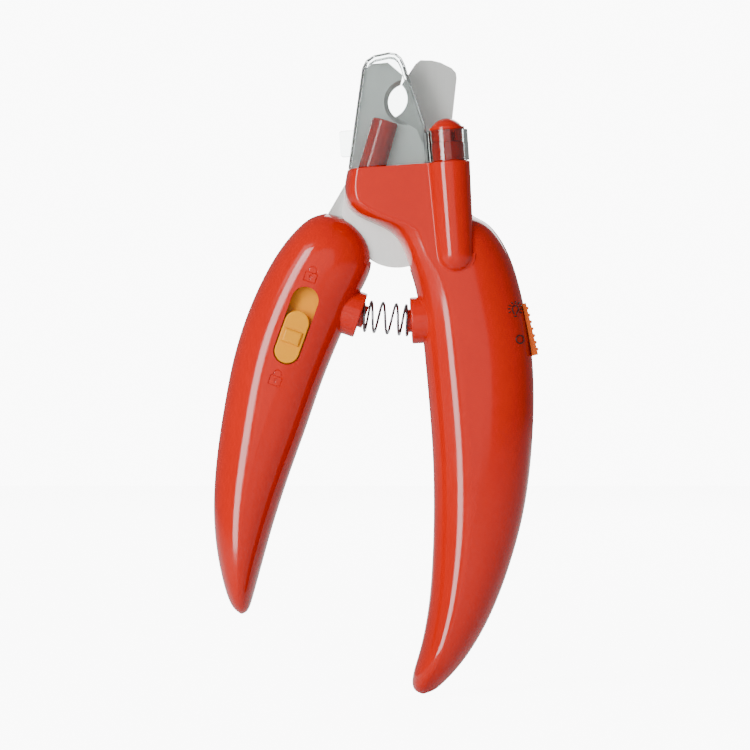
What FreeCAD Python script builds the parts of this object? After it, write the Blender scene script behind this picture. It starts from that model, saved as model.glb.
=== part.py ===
import FreeCAD, Part
import math
import os

# Pet nail clipper with crossed blades, a clear clipping guard and a built-in light.
# Row frame: +X to the right, +Z up towards the blade tips, and the front faces -Y.
# The origin lies on the pivot axis, on the flat back of the head.
#
# Each handle is drawn lying on its back in a local frame of its own: u across the
# handle, v along it, z from the back (0) to the front, with the pivot at u = v = 0.
# The head frame is turned by HEAD_TILT and the left handle's by LEFT_TILT.

# ---- driving dimensions, millimetres and degrees ----
HEAD_TILT = 4.0
LEFT_TILT = -13.5
CLOSING_ANGLE = 16.5

PARTING_Z = 10.0
FRONT_DEPTH = 10.0
BACK_DEPTH = 9.6
WALL = 2.0

MOVING_BLADE_BACK = 8.0
BLADE_THICKNESS = 1.9
BLADE_GAP = 0.1
FIXED_BLADE_BACK = MOVING_BLADE_BACK + BLADE_THICKNESS + BLADE_GAP
FIXED_BLADE_FRONT = FIXED_BLADE_BACK + BLADE_THICKNESS
HUB_RADIUS = 12.2
BEVEL = 1.1
FIXED_NOTCH = (4.4, 28.8)
FIXED_NOTCH_RADIUS = 4.6
MOVING_NOTCH = (-9.3, 28.7)
MOVING_NOTCH_RADIUS = 4.95

SEAM_V = 12.8
HINGE_U = 13.7
HINGE_Z = 18.2
BARREL_TOP_RADIUS = 5.25
BARREL_LOW_RADIUS = 4.6
BARREL_BOTTOM_V = -10.2
POST_RADIUS = 4.0
POST_TOP_V = 17.7
SLEEVE_RADIUS = 5.15
SLEEVE_BORE = 4.1
SLEEVE_TOP_V = 20.6
CAP_PIN_RADIUS = 2.0
CAP_PIN_DEPTH = 5.0
CAP_RADIUS = 4.4
CAP_SINK = 1.6
SKIRT_RADIUS = 3.85

GUARD_BACK_Z = 12.2
GUARD_FRONT_Z = 20.1
GUARD_WALL = 1.1
GUARD_BOTTOM_V = SEAM_V + 0.3

TUBE_RADIUS = 3.3
TUBE_BORE = 2.6
LAMP_RADIUS = 2.45
TUBE_Z = 15.4
TUBE_BASE = (-6.6, 9.4)
TUBE_TIP = (-1.2, 24.3)
WIRE_RADIUS = 0.5

PIVOT_RADIUS = 2.5
PIVOT_FIT = 0.05
PIVOT_BOSS_RADIUS = 8.0
PIVOT_HEAD_RADIUS = 4.2
PIVOT_HEAD = 2.4
KEY_FLATS = 3.0
KEY_DEPTH = 1.6
THREAD_RADIUS = 1.5
NUT_FLATS = 5.0
NUT_HEIGHT = 1.2
NUT_ROOM_RADIUS = 2.95
WASHER_RADIUS = 5.0
WASHER_THICKNESS = 0.7

SEAT_RADIUS = 5.8
SEAT_FIT = 0.05
SPRING_RADIUS = 3.8
SPRING_WIRE_RADIUS = 0.3
SPRING_TURNS = 4.0

SLOT_RADIUS = 3.375
SLOT_LENGTH = 13.27
BUTTON_RADIUS = 3.1
BUTTON_LENGTH = 7.3
BOLT_TIP_WIDTH = 1.6
BOLT_TIP_THICKNESS = 0.9

SWITCH_LENGTH = 13.3
SWITCH_WIDTH = 6.0
SWITCH_TRAVEL = 3.0
SWITCH_FACE = 0.65
SWITCH_GAP = 0.2
RIDGES = 7
RIDGE_PITCH = 1.75
RIDGE_RADIUS = 0.4

SCREW_RADIUS = 1.0
SCREW_HEAD_RADIUS = 2.0
SCREW_CLEARANCE = 0.05
BOSS_RADIUS = 2.8

CELL_RADIUS = 5.8
CELL_HEIGHT = 3.05
CELL_COUNT = 3
BATTERY_UV = (17.0, -72.0)
DOOR_RADIUS = 7.8

RIGHT_SHELL_SCREWS = [(23.2, -19.0), (19.0, -50.0), (5.5, -102.0)]
LEFT_SHELL_SCREWS = [(-21.0, -53.5), (-20.5, -73.0), (-18.5, -94.0)]
FIXED_BLADE_SCREWS = [(15.5, -13.0), (15.5, -28.0)]
MOVING_BLADE_SCREWS = [(-16.0, -15.0), (-16.8, -32.0)]

# Outlines seen from the front, from the top of each handle down, as (u, v).
RIGHT_INNER = [(-11.6, 12.8), (-12.8, 7.6), (-12.5, 4.3), (-10.2, 1.5), (-5.9, -0.9), (-2.1, -3.1),
               (0.4, -6.4), (2.1, -12.2), (3.9, -19.7), (4.6, -36.0), (4.9, -58.1), (4.2, -72.3),
               (1.9, -93.3), (-1.1, -106.2), (-4.0, -113.9), (-4.4, -116.2), (-3.9, -117.9), (-1.9, -118.9)]
RIGHT_OUTER = [(17.4, 12.8), (17.6, 4.0), (19.0, -0.9), (21.7, -2.0), (24.3, -4.9), (26.8, -9.4),
               (28.5, -14.7), (29.7, -20.8), (31.5, -36.1), (31.3, -44.3), (29.9, -58.2), (27.0, -73.9),
               (22.3, -87.8), (16.1, -101.1), (9.1, -111.1), (3.4, -116.5), (0.6, -118.4), (-1.7, -118.9)]
LEFT_OUTER = [(-17.5, -2.7), (-20.9, -4.6), (-24.2, -9.1), (-27.2, -15.7), (-29.8, -25.3), (-31.3, -35.4),
              (-31.7, -45.0), (-31.2, -54.0), (-30.1, -67.8), (-28.3, -78.9), (-25.7, -88.0),
              (-21.8, -97.0), (-18.2, -103.0), (-16.4, -104.6), (-14.9, -105.1)]
LEFT_INNER = [(-14.9, -2.7), (-11.6, -3.4), (-8.8, -4.8), (-5.5, -7.6), (-3.6, -11.7), (-3.3, -14.2),
              (-4.8, -19.6), (-6.8, -31.1), (-8.8, -43.2), (-9.9, -56.2), (-11.3, -68.0), (-12.4, -82.7),
              (-12.8, -95.6), (-13.1, -102.8), (-13.7, -104.5), (-14.7, -105.1)]

# How far the front rounds over from each edge, as (v, inner side, outer side).
RIGHT_ROUNDING = [(12.8, 3.0, 3.0), (5.0, 3.4, 4.0), (1.5, 5.0, 6.0), (-3.0, 6.5, 9.0), (-9.0, 5.5, 11.0),
                  (-20.0, 8.5, 12.5), (-70.0, 9.0, 12.5), (-118.9, 9.0, 12.5)]
LEFT_ROUNDING = [(-2.7, 10.0, 9.0), (-20.0, 11.0, 9.5), (-60.0, 9.5, 9.0), (-105.1, 9.0, 9.0)]

RIGHT_STATIONS = [12.8, 9.5, 6.5, 4.0, 2.2, 0.8, -0.6, -1.8, -3.2, -5.0, -7.5, -11.0, -15.5, -21.0, -29.0,
                  -38.0, -48.0, -58.0, -68.0, -78.0, -88.0, -96.0, -103.0, -108.5, -112.5, -115.3, -117.1,
                  -118.2, -118.8]
LEFT_STATIONS = [-2.8, -3.2, -4.0, -5.2, -7.0, -9.5, -12.5, -16.0, -21.0, -28.0, -36.0, -45.0, -55.0,
                 -65.0, -75.0, -84.0, -91.0, -96.5, -100.5, -103.0, -104.4, -105.0]

ARCH_STEPS = 6

V3 = FreeCAD.Vector
Z_AXIS = V3(0, 0, 1)


# ---- placing and saving ----
def turned(shape, angle):
    """A copy turned about the pivot axis."""
    copy = shape.copy()
    copy.rotate(V3(0, 0, 0), Z_AXIS, angle)
    return copy


def save(name, shape, tilt):
    """Turn a local shape into place, stand the clipper up and write its file."""
    placed = turned(shape, tilt)
    placed.rotate(V3(0, 0, 0), V3(1, 0, 0), 90)
    placed.exportStep("parts/%s.step" % name)
    print("%-26s solids %d  valid %s  volume %.1f" % (name, len(placed.Solids), placed.isValid(), placed.Volume))


# ---- small solids ----
def prism(points, z_low, z_high):
    """A straight-sided plate from a closed list of (u, v) points."""
    corners = [V3(u, v, z_low) for u, v in points]
    face = Part.Face(Part.makePolygon(corners + corners[:1]))
    return face.extrude(V3(0, 0, z_high - z_low))


def disc(radius, z_low, z_high, centre=(0, 0)):
    return Part.makeCylinder(radius, z_high - z_low, V3(centre[0], centre[1], z_low))


def block(u_range, v_range, z_range):
    low = V3(u_range[0], v_range[0], z_range[0])
    return Part.makeBox(u_range[1] - u_range[0], v_range[1] - v_range[0], z_range[1] - z_range[0], low)


def rounded_slot(radius, length, z_low, z_high):
    """A long hole's plug: from (0, 0) to (0, length) with round ends."""
    straight = block((-radius, radius), (0, length), (z_low, z_high))
    ends = [disc(radius, z_low, z_high), disc(radius, z_low, z_high, (0, length))]
    return straight.fuse(ends).removeSplitter()


def joined(shapes):
    result = shapes[0]
    for shape in shapes[1:]:
        result = result.fuse(shape)
    return result.removeSplitter()


def minus(shape, cutters):
    result = shape
    for cutter in cutters:
        result = result.cut(cutter)
    return result


# ---- handle bodies ----
def value_at(rows, v, key, column):
    """A smooth value from rows of numbers, keyed by v and kept between its neighbours."""
    rows = sorted(rows, key=lambda row: row[key])
    keys = [row[key] for row in rows]
    values = [row[column] for row in rows]
    if v <= keys[0]:
        return values[0]
    if v >= keys[-1]:
        return values[-1]
    steps = [(values[i + 1] - values[i]) / (keys[i + 1] - keys[i]) for i in range(len(keys) - 1)]
    slopes = [steps[0]]
    for before, after in zip(steps, steps[1:]):
        slopes.append(0.0 if before * after <= 0 else 2.0 * before * after / (before + after))
    slopes.append(steps[-1])
    i = max(k for k in range(len(keys) - 1) if keys[k] <= v)
    span = keys[i + 1] - keys[i]
    t = (v - keys[i]) / span
    return (values[i] * (1 + 2 * t) * (1 - t) ** 2 + slopes[i] * span * t * (1 - t) ** 2
            + values[i + 1] * t * t * (3 - 2 * t) + slopes[i + 1] * span * t * t * (t - 1))


def nose(distance, reach):
    """The share of full depth at a distance from a rounded end."""
    if distance >= reach:
        return 1.0
    return math.sqrt(max(0.0, 1.0 - (1.0 - distance / reach) ** 2))


def arch(v, low, high, round_low, round_high, depth, side):
    """One row of a half handle's control net: up one edge, over the front or back, down the other."""
    scale = min(1.0, 0.96 * (high - low) / (round_low + round_high))
    round_low *= scale
    round_high *= scale
    angles = [math.pi / 2 * k / ARCH_STEPS for k in range(ARCH_STEPS + 1)]
    rising = [(low + round_low * (1 - math.cos(angle)), math.sin(angle)) for angle in angles]
    falling = [(high - round_high * (1 - math.cos(angle)), math.sin(angle)) for angle in reversed(angles)]
    flat_start, flat_end = rising[-1][0], falling[0][0]
    flat = [(flat_start + (flat_end - flat_start) * share, 1.0) for share in (0.25, 0.5, 0.75)]
    return [V3(u, v, PARTING_Z + side * depth * height) for u, height in rising + flat + falling]


def smooth_surface(net):
    """A clamped cubic surface drawn by a net of control points."""
    surface = Part.BSplineSurface()
    knots = []
    mults = []
    for count in (len(net), len(net[0])):
        spans = count - 3
        knots.append([float(k) for k in range(spans + 1)])
        mults.append([4] + [1] * (spans - 1) + [4])
    surface.buildFromPolesMultsKnots(net, mults[0], mults[1], knots[0], knots[1], False, False, 3, 3)
    return surface


def closed_half(net):
    """The solid between a net's surface and the parting plane."""
    surface = smooth_surface(net)
    u_end = len(net) - 3
    v_end = len(net[0]) - 3
    edges = [surface.vIso(0).toShape(), surface.vIso(v_end).toShape(),
             surface.uIso(0).toShape(), surface.uIso(u_end).toShape()]
    top_line = Part.makeLine(net[0][0], net[0][-1])
    bottom_line = Part.makeLine(net[-1][0], net[-1][-1])
    base = Part.Face(Part.Wire(Part.__sortEdges__([edges[0], edges[1], top_line, bottom_line])))
    caps = [Part.Face(Part.Wire(Part.__sortEdges__([edges[2], top_line]))),
            Part.Face(Part.Wire(Part.__sortEdges__([edges[3], bottom_line])))]
    shell = Part.makeShell([surface.toShape(), base] + caps)
    shell.sewShape()
    solid = Part.Solid(shell)
    if solid.Volume < 0:
        solid.reverse()
    return solid


def handle_half(handle, side, inset=0.0):
    """The front (side 1) or back (side -1) half of a handle, shrunk on all sides by inset."""
    top = handle["stations"][0]
    bottom = handle["stations"][-1]
    squeeze = (top - bottom - 2 * inset) / (top - bottom)
    full_depth = FRONT_DEPTH if side > 0 else BACK_DEPTH
    net = []
    for station in handle["stations"]:
        v = top - inset + (station - top) * squeeze
        low = value_at(handle["low"], v, 1, 0) + inset
        high = value_at(handle["high"], v, 1, 0) - inset
        depth = full_depth * nose(v - bottom + 0.05, handle["nose"])
        if not handle["flat_top"]:
            depth = min(depth, full_depth * nose(top - v + 0.05, handle["nose"]))
        depth -= inset
        if high - low < 0.4 or depth < 0.4:
            continue
        round_low = max(1.0, value_at(handle["rounding"], v, 0, handle["low_column"]) - inset)
        round_high = max(1.0, value_at(handle["rounding"], v, 0, 3 - handle["low_column"]) - inset)
        net.append(arch(v, low, high, round_low, round_high, depth, side))
    return closed_half(net)


RIGHT = {"low": RIGHT_INNER, "high": RIGHT_OUTER, "rounding": RIGHT_ROUNDING, "low_column": 1,
         "stations": RIGHT_STATIONS, "flat_top": True, "nose": 11.0}
LEFT = {"low": LEFT_OUTER, "high": LEFT_INNER, "rounding": LEFT_ROUNDING, "low_column": 2,
        "stations": LEFT_STATIONS, "flat_top": False, "nose": 11.0}


# ---- fasteners ----
def screw(centre, head_z, head_height, tip_z, radius=SCREW_RADIUS):
    """A pan-head screw driven in from the back, with a cross recess."""
    head = disc(SCREW_HEAD_RADIUS, head_z, head_z + head_height, centre)
    head = head.makeFillet(0.5, [edge for edge in head.Edges if abs(edge.BoundBox.ZMax - head_z) < 0.01
                                 and edge.BoundBox.ZLength < 0.01])
    shank = disc(radius, head_z + head_height, tip_z, centre)
    arms = [block((-1.25, 1.25), (-0.25, 0.25), (head_z - 1, head_z + 0.9)),
            block((-0.25, 0.25), (-1.25, 1.25), (head_z - 1, head_z + 0.9))]
    for arm in arms:
        arm.translate(V3(centre[0], centre[1], 0))
    return minus(joined([head, shank]), arms)


def screw_group(centres, head_z, head_height, tip_z):
    return Part.makeCompound([screw(centre, head_z, head_height, tip_z) for centre in centres])


SHELL_SCREW_HEAD_Z = 1.6
SHELL_SCREW_HEAD = 1.6
SHELL_SCREW_TIP_Z = 15.0
BLADE_SCREW_HEAD = 1.4


def shell_screw_cuts(centres):
    """Counterbores from the back and pilot holes through to the front half."""
    cuts = []
    for centre in centres:
        cuts.append(disc(SCREW_HEAD_RADIUS + 0.25, -2, SHELL_SCREW_HEAD_Z + SHELL_SCREW_HEAD, centre))
        cuts.append(disc(SCREW_RADIUS + SCREW_CLEARANCE, 0, SHELL_SCREW_TIP_Z + 0.2, centre))
    return cuts


# ---- blades ----
def lock_axis_point(distance):
    """A point of the left frame at a distance along the lock slot from its lower centre."""
    return (-18.8 + 0.1055 * distance, -38.5 + 0.9944 * distance)


LOCK_SLANT = -6.06


def bolt_tip(width, top_v, z_high):
    """The finger of the lock bolt, in the left frame, from its root to a given height along its travel."""
    root_u, root_v = (-7.75, -17.5)
    top_u = root_u + (top_v - root_v) * math.tan(math.radians(-LOCK_SLANT))
    return prism([(root_u - width / 2, root_v), (root_u + width / 2, root_v),
                  (top_u + width / 2, top_v), (top_u - width / 2, top_v)],
                 FIXED_BLADE_BACK - 0.5, z_high)


def fixed_blade():
    """The front blade, in the head frame: notch, bevel, round hub and a tang for the right handle."""
    back, front = FIXED_BLADE_BACK, FIXED_BLADE_FRONT
    notch = FIXED_NOTCH
    outline = prism([(-5.1, 37.7), (-3.6, 38.9), (0.4, 39.0), (3.9, 35.6), (3.2, 33.2), (1.6, 25.2),
                     (6.5, 21.8), (9.4, 12.0), (12.2, 1.0), (0.0, -5.0), (-10.0, -3.0), (-12.1, -1.4),
                     (-13.8, 2.0), (-12.9, 5.7)], back, front)
    tang = prism([(3.0, -11.6), (9.6, -17.5), (10.0, -33.5), (18.5, -33.5), (18.5, -9.0), (11.6, 2.5),
                  (0.0, 0.0)], back, front)
    blade = joined([outline, disc(HUB_RADIUS, back, front), tang])
    bevel_cone = Part.makeCone(FIXED_NOTCH_RADIUS, FIXED_NOTCH_RADIUS + 2 * BEVEL, 2 * BEVEL,
                               V3(notch[0], notch[1], front - BEVEL))
    bore = disc(PIVOT_RADIUS + PIVOT_FIT, back - 1, front + 1)
    pocket = bolt_tip(BOLT_TIP_WIDTH + 0.5, -7.35, back + BOLT_TIP_THICKNESS + 0.2)
    pockets = [turned(pocket, LEFT_TILT - HEAD_TILT + angle) for angle in (0.0, CLOSING_ANGLE)]
    holes = [disc(SCREW_RADIUS + SCREW_CLEARANCE, back - 1, front + 1, centre) for centre in FIXED_BLADE_SCREWS]
    return minus(blade, [disc(FIXED_NOTCH_RADIUS, back - 1, front + 1, notch), bevel_cone, bore] + pockets + holes)


def moving_blade():
    """The back blade, in the left frame: it crosses at the pivot and ends in a tang."""
    back = MOVING_BLADE_BACK
    front = back + BLADE_THICKNESS
    notch = MOVING_NOTCH
    outline = prism([(-4.6, 38.7), (-3.6, 40.0), (-0.8, 40.6), (1.4, 40.6), (4.5, 39.9), (5.8, 39.0),
                     (6.3, 37.8), (7.7, 27.0), (10.0, 8.0), (11.4, 1.0), (0.0, -8.0), (-11.0, -6.0),
                     (-17.2, -3.1), (-14.6, 5.6), (-8.3, 23.8), (-6.7, 32.9)], back, front)
    tang = prism([(-17.2, -3.1), (-19.6, -14.0), (-20.9, -36.5), (-12.8, -36.5), (-12.4, -20.0),
                  (-7.4, -8.5), (0.0, -4.0)], back, front)
    blade = joined([outline, disc(HUB_RADIUS - 0.6, back, front), tang])
    bevel_cone = Part.makeCone(MOVING_NOTCH_RADIUS + 2 * BEVEL, MOVING_NOTCH_RADIUS, 2 * BEVEL,
                               V3(notch[0], notch[1], back - BEVEL))
    bore = disc(PIVOT_RADIUS + PIVOT_FIT, back - 1, front + 1)
    holes = [disc(SCREW_RADIUS + SCREW_CLEARANCE, back - 1, front + 1, centre) for centre in MOVING_BLADE_SCREWS]
    return minus(blade, [disc(MOVING_NOTCH_RADIUS, back - 1, front + 1, notch), bevel_cone, bore] + holes)


def hexagon(across_flats, z_low, z_high):
    radius = across_flats / math.sqrt(3)
    corners = [(radius * math.cos(math.radians(60 * k)), radius * math.sin(math.radians(60 * k)))
               for k in range(6)]
    return prism(corners, z_low, z_high)


def pivot_parts():
    """The shoulder bolt from the back, the washer under its head and the low nut on the front blade."""
    washer_back = MOVING_BLADE_BACK - WASHER_THICKNESS
    head_back = washer_back - PIVOT_HEAD
    head = disc(PIVOT_HEAD_RADIUS, head_back, washer_back)
    shoulder = disc(PIVOT_RADIUS, washer_back, FIXED_BLADE_FRONT)
    thread = disc(THREAD_RADIUS, FIXED_BLADE_FRONT, FIXED_BLADE_FRONT + NUT_HEIGHT + 0.1)
    bolt = joined([head, shoulder, thread]).cut(hexagon(KEY_FLATS, head_back - 1, head_back + KEY_DEPTH))
    washer = disc(WASHER_RADIUS, washer_back, MOVING_BLADE_BACK)
    washer = washer.cut(disc(PIVOT_RADIUS + PIVOT_FIT, 0, washer_back + 2 * WASHER_THICKNESS))
    nut = hexagon(NUT_FLATS, FIXED_BLADE_FRONT, FIXED_BLADE_FRONT + NUT_HEIGHT)
    nut = nut.cut(disc(THREAD_RADIUS + 0.01, 0, 2 * PARTING_Z))
    return bolt, washer, nut


# ---- hinge barrel, post and cap, along v at the head's right side ----
def along_v(radius_low, radius_high, v_low, v_high):
    """A round bar or cone about the guard's hinge axis."""
    foot = V3(HINGE_U, v_low, HINGE_Z)
    if radius_low == radius_high:
        return Part.makeCylinder(radius_low, v_high - v_low, foot, V3(0, 1, 0))
    return Part.makeCone(radius_low, radius_high, v_high - v_low, foot, V3(0, 1, 0))


def hinge_barrel():
    cone = along_v(BARREL_LOW_RADIUS, BARREL_TOP_RADIUS, BARREL_BOTTOM_V, SEAM_V)
    end = Part.makeSphere(BARREL_LOW_RADIUS, V3(HINGE_U, BARREL_BOTTOM_V, HINGE_Z))
    return joined([cone, end])


def guard_cap():
    """The domed stopper that keeps the guard's sleeve on its post."""
    rim_v = SLEEVE_TOP_V + 0.15
    dome = Part.makeSphere(CAP_RADIUS + 0.1, V3(HINGE_U, rim_v - CAP_SINK, HINGE_Z))
    dome = dome.cut(block((0, 30), (rim_v - 20, rim_v), (0, 40)))
    rim = along_v(CAP_RADIUS, CAP_RADIUS, rim_v, rim_v + 0.6)
    skirt = along_v(SKIRT_RADIUS, SKIRT_RADIUS, POST_TOP_V + 0.1, rim_v)
    skirt = skirt.cut(along_v(SKIRT_RADIUS - 0.95, SKIRT_RADIUS - 0.95, POST_TOP_V, rim_v - 0.8))
    slots = []
    for angle in (20, 110):
        slot = block((HINGE_U - 6, HINGE_U + 6), (POST_TOP_V, rim_v - 0.9), (HINGE_Z - 0.5, HINGE_Z + 0.5))
        slot.rotate(V3(HINGE_U, 0, HINGE_Z), V3(0, 1, 0), angle)
        slots.append(slot)
    pin = along_v(CAP_PIN_RADIUS, CAP_PIN_RADIUS, POST_TOP_V - CAP_PIN_DEPTH, rim_v)
    return joined([dome, rim, minus(skirt, slots), pin])


# ---- light ----
def tube_bar(radius, start, end):
    """A round bar on the light tube's axis, from start to end millimetres past its base."""
    du = TUBE_TIP[0] - TUBE_BASE[0]
    dv = TUBE_TIP[1] - TUBE_BASE[1]
    length = math.hypot(du, dv)
    direction = V3(du / length, dv / length, 0)
    foot = V3(TUBE_BASE[0], TUBE_BASE[1], TUBE_Z) + direction * start
    return Part.makeCylinder(radius, end - start, foot, direction)


TUBE_LENGTH = math.hypot(TUBE_TIP[0] - TUBE_BASE[0], TUBE_TIP[1] - TUBE_BASE[1])


def led_tube():
    tube = tube_bar(TUBE_RADIUS, 0, TUBE_LENGTH)
    rim = [edge for edge in tube.Edges if edge.Length < 25 and edge.BoundBox.YMax > TUBE_TIP[1]]
    tube = tube.makeFillet(0.5, rim)
    return tube.cut(tube_bar(TUBE_BORE, -1, TUBE_LENGTH + 1))


def led_lamp():
    """A 5 mm lamp with a flange, and its domed lens just inside the tube's mouth."""
    lens_end = TUBE_LENGTH - 0.3
    body = tube_bar(LAMP_RADIUS, TUBE_LENGTH - 7.0, lens_end)
    rim = [edge for edge in body.Edges if len(edge.Vertexes) == 1 and edge.BoundBox.YMax > TUBE_TIP[1] - 1.5]
    body = body.makeFillet(LAMP_RADIUS - 0.15, rim)
    return joined([body, tube_bar(LAMP_RADIUS + 0.1, TUBE_LENGTH - 7.9, TUBE_LENGTH - 6.9)])


def pipe(points, radius):
    """A bent wire: straight runs with a ball at each turn."""
    pieces = []
    for start, end in zip(points, points[1:]):
        run = V3(*end) - V3(*start)
        pieces.append(Part.makeCylinder(radius, run.Length, V3(*start), run))
    pieces += [Part.makeSphere(radius, V3(*point)) for point in points[1:-1]]
    return joined(pieces)


def led_wires():
    """Two insulated wires from the lamp's foot to the circuit board."""
    wires = []
    for offset in (-0.7, 0.7):
        foot = (TUBE_BASE[0] + 1.4 + offset, TUBE_BASE[1] + 4.0, TUBE_Z)
        level = 15.3 + offset
        wires.append(pipe([foot, (TUBE_BASE[0] + offset, TUBE_BASE[1] - 2.0, TUBE_Z), (7.0, 6.2 + offset, 15.8),
                           (14.5, -3.0, level), (19.05, -8.0, level), (19.05, -25.0, level),
                           (21.0, -29.0, level)], WIRE_RADIUS))
    return Part.makeCompound(wires)


# ---- shells ----
def screw_bosses(centres, z_low, z_high, envelope):
    return [disc(BOSS_RADIUS, z_low, z_high, centre).common(envelope) for centre in centres]


def seat_bar(side, radius, start, end):
    """A bar on a spring seat's axis; start and end are measured inwards from its face."""
    face, direction = SEATS[side]
    inward = V3(direction[0], direction[1], 0)
    foot = V3(face[0], face[1], PARTING_Z) + inward * start
    return Part.makeCylinder(radius, end - start, foot, inward)


SEATS = {"right": ((1.7, -25.6), (1.0, -0.01)), "left": ((-3.2, -25.6), (-0.9957, 0.0924))}
SEAT_DEPTH = {"right": 6.6, "left": 6.2}

SWITCH_START = (32.1, -36.4)
SWITCH_ANGLE = 9.46


def on_switch(shape):
    """Place a shape drawn along +v with its outer face at u = 0 on the handle's outer edge."""
    copy = shape.copy()
    copy.rotate(V3(0, 0, 0), Z_AXIS, SWITCH_ANGLE)
    copy.translate(V3(SWITCH_START[0], SWITCH_START[1], 0))
    return copy


def switch_slot():
    """The slot in the outer edge for the thumb slider's neck."""
    return on_switch(block((-8, 5), (SWITCH_LENGTH / 2 - 3.2, SWITCH_LENGTH / 2 + 3.2 + SWITCH_TRAVEL),
                           (PARTING_Z - 2.0, PARTING_Z + 2.0)))


def light_switch_slider():
    """A thumb pad with cross ridges that hugs the handle's edge, and a neck through the wall."""
    pad = block((-1.4, SWITCH_FACE), (0, SWITCH_LENGTH),
                (PARTING_Z - SWITCH_WIDTH / 2, PARTING_Z + SWITCH_WIDTH / 2))
    pieces = [pad]
    first = (SWITCH_LENGTH - RIDGE_PITCH * (RIDGES - 1)) / 2
    for k in range(RIDGES):
        pieces.append(Part.makeCylinder(RIDGE_RADIUS, SWITCH_WIDTH,
                                        V3(SWITCH_FACE, first + k * RIDGE_PITCH, PARTING_Z - SWITCH_WIDTH / 2)))
    slider = on_switch(joined(pieces))
    turn = math.radians(SWITCH_ANGLE)
    out = V3(math.cos(turn), math.sin(turn), 0)
    up = V3(-math.sin(turn), math.cos(turn), 0)
    for travel in (0.0, SWITCH_TRAVEL):
        for side in (1, -1):
            handle = handle_half(RIGHT, side)
            handle.translate(out * SWITCH_GAP - up * travel)
            slider = slider.cut(handle)
    neck = block((-5.4, 0.3), (SWITCH_LENGTH / 2 - 3, SWITCH_LENGTH / 2 + 3), (PARTING_Z - 1.8, PARTING_Z + 1.8))
    return joined([slider, on_switch(neck)])


def lock_frame(shape):
    """Place a shape drawn along +v from (0, 0) onto the lock slot of the left handle."""
    copy = shape.copy()
    copy.rotate(V3(0, 0, 0), Z_AXIS, LOCK_SLANT)
    start = lock_axis_point(0)
    copy.translate(V3(start[0], start[1], 0))
    return copy


def padlock(centre, angle, is_open):
    """A padlock drawn as thin lines: body, keyhole and a shackle that is shut or swung open."""
    line = 0.32
    z_range = (PARTING_Z, PARTING_Z + FRONT_DEPTH + 5)
    outer = block((-1.6, 1.6), (-2.0, 0.5), z_range)
    body = outer.cut(block((-1.6 + line, 1.6 - line), (-2.0 + line, 0.5 - line), z_range))
    keyhole = [disc(0.38, z_range[0], z_range[1], (0, -0.5)), block((-0.16, 0.16), (-1.3, -0.5), z_range)]
    ring = disc(1.15, z_range[0], z_range[1], (0, 1.0)).cut(disc(1.15 - line, z_range[0], z_range[1], (0, 1.0)))
    ring = ring.cut(block((-2, 2), (-1, 1.0), z_range))
    legs = [block((-1.15, -1.15 + line), (0.4, 1.02), z_range)]
    legs.append(block((1.15 - line, 1.15), (0.72 if is_open else 0.4, 1.02), z_range))
    icon = Part.makeCompound([body] + keyhole + [ring] + legs)
    icon.rotate(V3(0, 0, 0), Z_AXIS, angle)
    icon.translate(V3(centre[0], centre[1], 0))
    return icon.Solids


ICON_DEPTH = 0.3


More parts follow.
